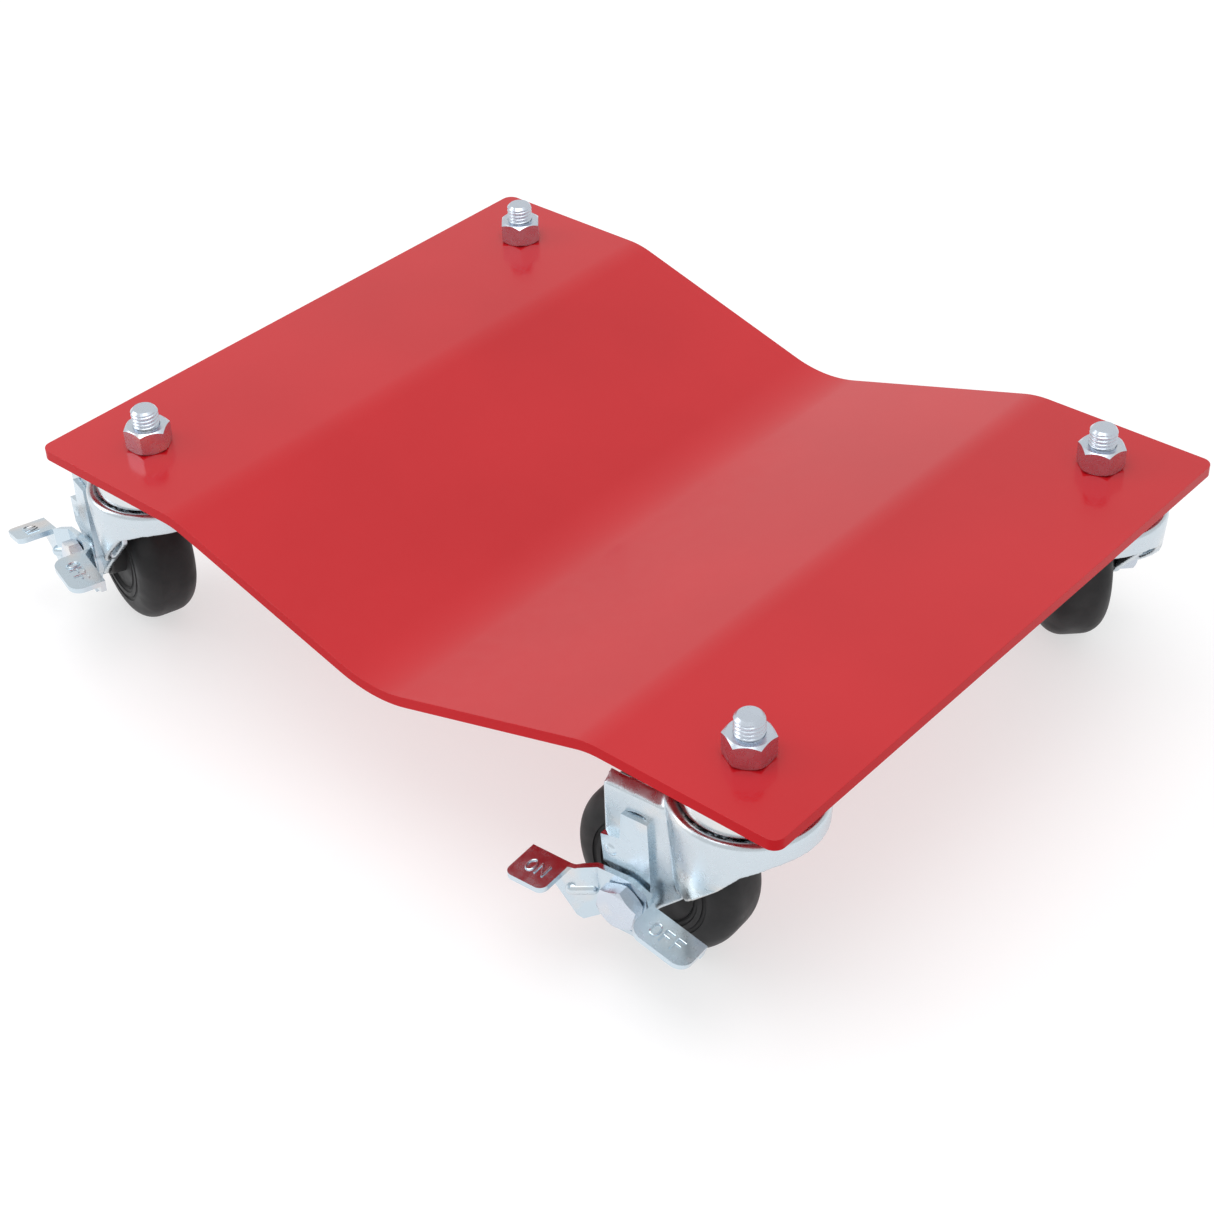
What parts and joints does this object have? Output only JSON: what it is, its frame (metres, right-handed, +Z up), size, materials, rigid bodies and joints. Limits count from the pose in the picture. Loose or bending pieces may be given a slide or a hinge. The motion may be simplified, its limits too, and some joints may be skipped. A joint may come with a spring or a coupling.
{
  "type": "wheel dolly",
  "caption": "Low dolly for moving a parked car: a bent red steel plate that cradles a road wheel, on swivel casters with side brakes.",
  "frame": {"origin": "on the ground, at the middle of the whole object's box; the plate's middle is 26 mm along +X from it", "axes": "+Z up; +X along the plate's length, across its bends; +Y along the bends"},
  "size_m": [0.4592, 0.3564, 0.1275],
  "materials": {
    "red_powder_coat": "semi-gloss powder coat",
    "zinc_sheet": "bright blue zinc plate on pressed sheet",
    "zinc_brake": "blue to straw zinc plate",
    "zinc_race": "polished zinc plate",
    "zinc_fastener": "bright blue zinc plate",
    "bush_steel": "plain drawn tube",
    "ball_steel": "ground ball with grease",
    "black_wheel": "satin hard rubber"
  },
  "bodies": {
    "frame": {"cradle_plate": "red_powder_coat", "front_right_stem_nut": "zinc_fastener", "front_right_stem": "zinc_fastener", "front_right_race_cap": "zinc_race", "front_right_upper_balls": "ball_steel", "front_right_lower_balls": "ball_steel", "front_right_lower_race": "zinc_race", "rear_right_stem_nut": "zinc_fastener", "rear_right_stem": "zinc_fastener", "rear_right_race_cap": "zinc_race", "rear_right_upper_balls": "ball_steel", "rear_right_lower_balls": "ball_steel", "rear_right_lower_race": "zinc_race", "front_left_stem_nut": "zinc_fastener", "front_left_stem": "zinc_fastener", "front_left_race_cap": "zinc_race", "front_left_upper_balls": "ball_steel", "front_left_lower_balls": "ball_steel", "front_left_lower_race": "zinc_race", "rear_left_stem_nut": "zinc_fastener", "rear_left_stem": "zinc_fastener", "rear_left_race_cap": "zinc_race", "rear_left_upper_balls": "ball_steel", "rear_left_lower_balls": "ball_steel", "rear_left_lower_race": "zinc_race"},
    "front_right_swivel": {"front_right_fork": "zinc_sheet", "front_right_axle_bush": "bush_steel", "front_right_axle_bolt": "zinc_fastener", "front_right_axle_nut": "zinc_fastener", "front_right_brake_cam_plate": "zinc_brake"},
    "front_right_wheel_body": {"front_right_wheel": "black_wheel"},
    "front_right_lever_body": {"front_right_brake_lever": "zinc_brake"},
    "rear_right_swivel": {"rear_right_fork": "zinc_sheet", "rear_right_axle_bush": "bush_steel", "rear_right_axle_bolt": "zinc_fastener", "rear_right_axle_nut": "zinc_fastener", "rear_right_brake_cam_plate": "zinc_brake"},
    "rear_right_wheel_body": {"rear_right_wheel": "black_wheel"},
    "rear_right_lever_body": {"rear_right_brake_lever": "zinc_brake"},
    "front_left_swivel": {"front_left_fork": "zinc_sheet", "front_left_axle_bush": "bush_steel", "front_left_axle_bolt": "zinc_fastener", "front_left_axle_nut": "zinc_fastener"},
    "front_left_wheel_body": {"front_left_wheel": "black_wheel"},
    "rear_left_swivel": {"rear_left_fork": "zinc_sheet", "rear_left_axle_bush": "bush_steel", "rear_left_axle_bolt": "zinc_fastener", "rear_left_axle_nut": "zinc_fastener"},
    "rear_left_wheel_body": {"rear_left_wheel": "black_wheel"}
  },
  "joints": [
    {"name": "front_right_swivel_turn", "type": "hinge", "parent": "frame", "child": "front_right_swivel", "pos_m": [0.1925, -0.1208, 0.09], "axis": [0, 0, 1], "continuous": true},
    {"name": "front_right_wheel_spin", "type": "hinge", "parent": "front_right_swivel", "child": "front_right_wheel_body", "pos_m": [0.15609, -0.12335, 0.0381], "axis": [0.0698, -0.9976, 0], "continuous": true},
    {"name": "front_right_brake_rock", "type": "hinge", "parent": "front_right_swivel", "child": "front_right_lever_body", "pos_m": [0.15609, -0.12335, 0.0381], "axis": [0.0698, -0.9976, 0], "range_deg": [0, 25]},
    {"name": "rear_right_swivel_turn", "type": "hinge", "parent": "frame", "child": "rear_right_swivel", "pos_m": [-0.1405, -0.1208, 0.09], "axis": [0, 0, 1], "continuous": true},
    {"name": "rear_right_wheel_spin", "type": "hinge", "parent": "rear_right_swivel", "child": "rear_right_wheel_body", "pos_m": [-0.17541, -0.11013, 0.0381], "axis": [-0.2924, -0.9563, 0], "continuous": true},
    {"name": "rear_right_brake_rock", "type": "hinge", "parent": "rear_right_swivel", "child": "rear_right_lever_body", "pos_m": [-0.17541, -0.11013, 0.0381], "axis": [-0.2924, -0.9563, 0], "range_deg": [-14, 11]},
    {"name": "front_left_swivel_turn", "type": "hinge", "parent": "frame", "child": "front_left_swivel", "pos_m": [0.1925, 0.1208, 0.09], "axis": [0, 0, 1], "continuous": true},
    {"name": "front_left_wheel_spin", "type": "hinge", "parent": "front_left_swivel", "child": "front_left_wheel_body", "pos_m": [0.16714, 0.14706, 0.0381], "axis": [-0.7193, -0.6947, 0], "continuous": true},
    {"name": "rear_left_swivel_turn", "type": "hinge", "parent": "frame", "child": "rear_left_swivel", "pos_m": [-0.1405, 0.1208, 0.09], "axis": [0, 0, 1], "continuous": true},
    {"name": "rear_left_wheel_spin", "type": "hinge", "parent": "rear_left_swivel", "child": "rear_left_wheel_body", "pos_m": [-0.17358, 0.10537, 0.0381], "axis": [0.4226, -0.9063, 0], "continuous": true}
  ]
}
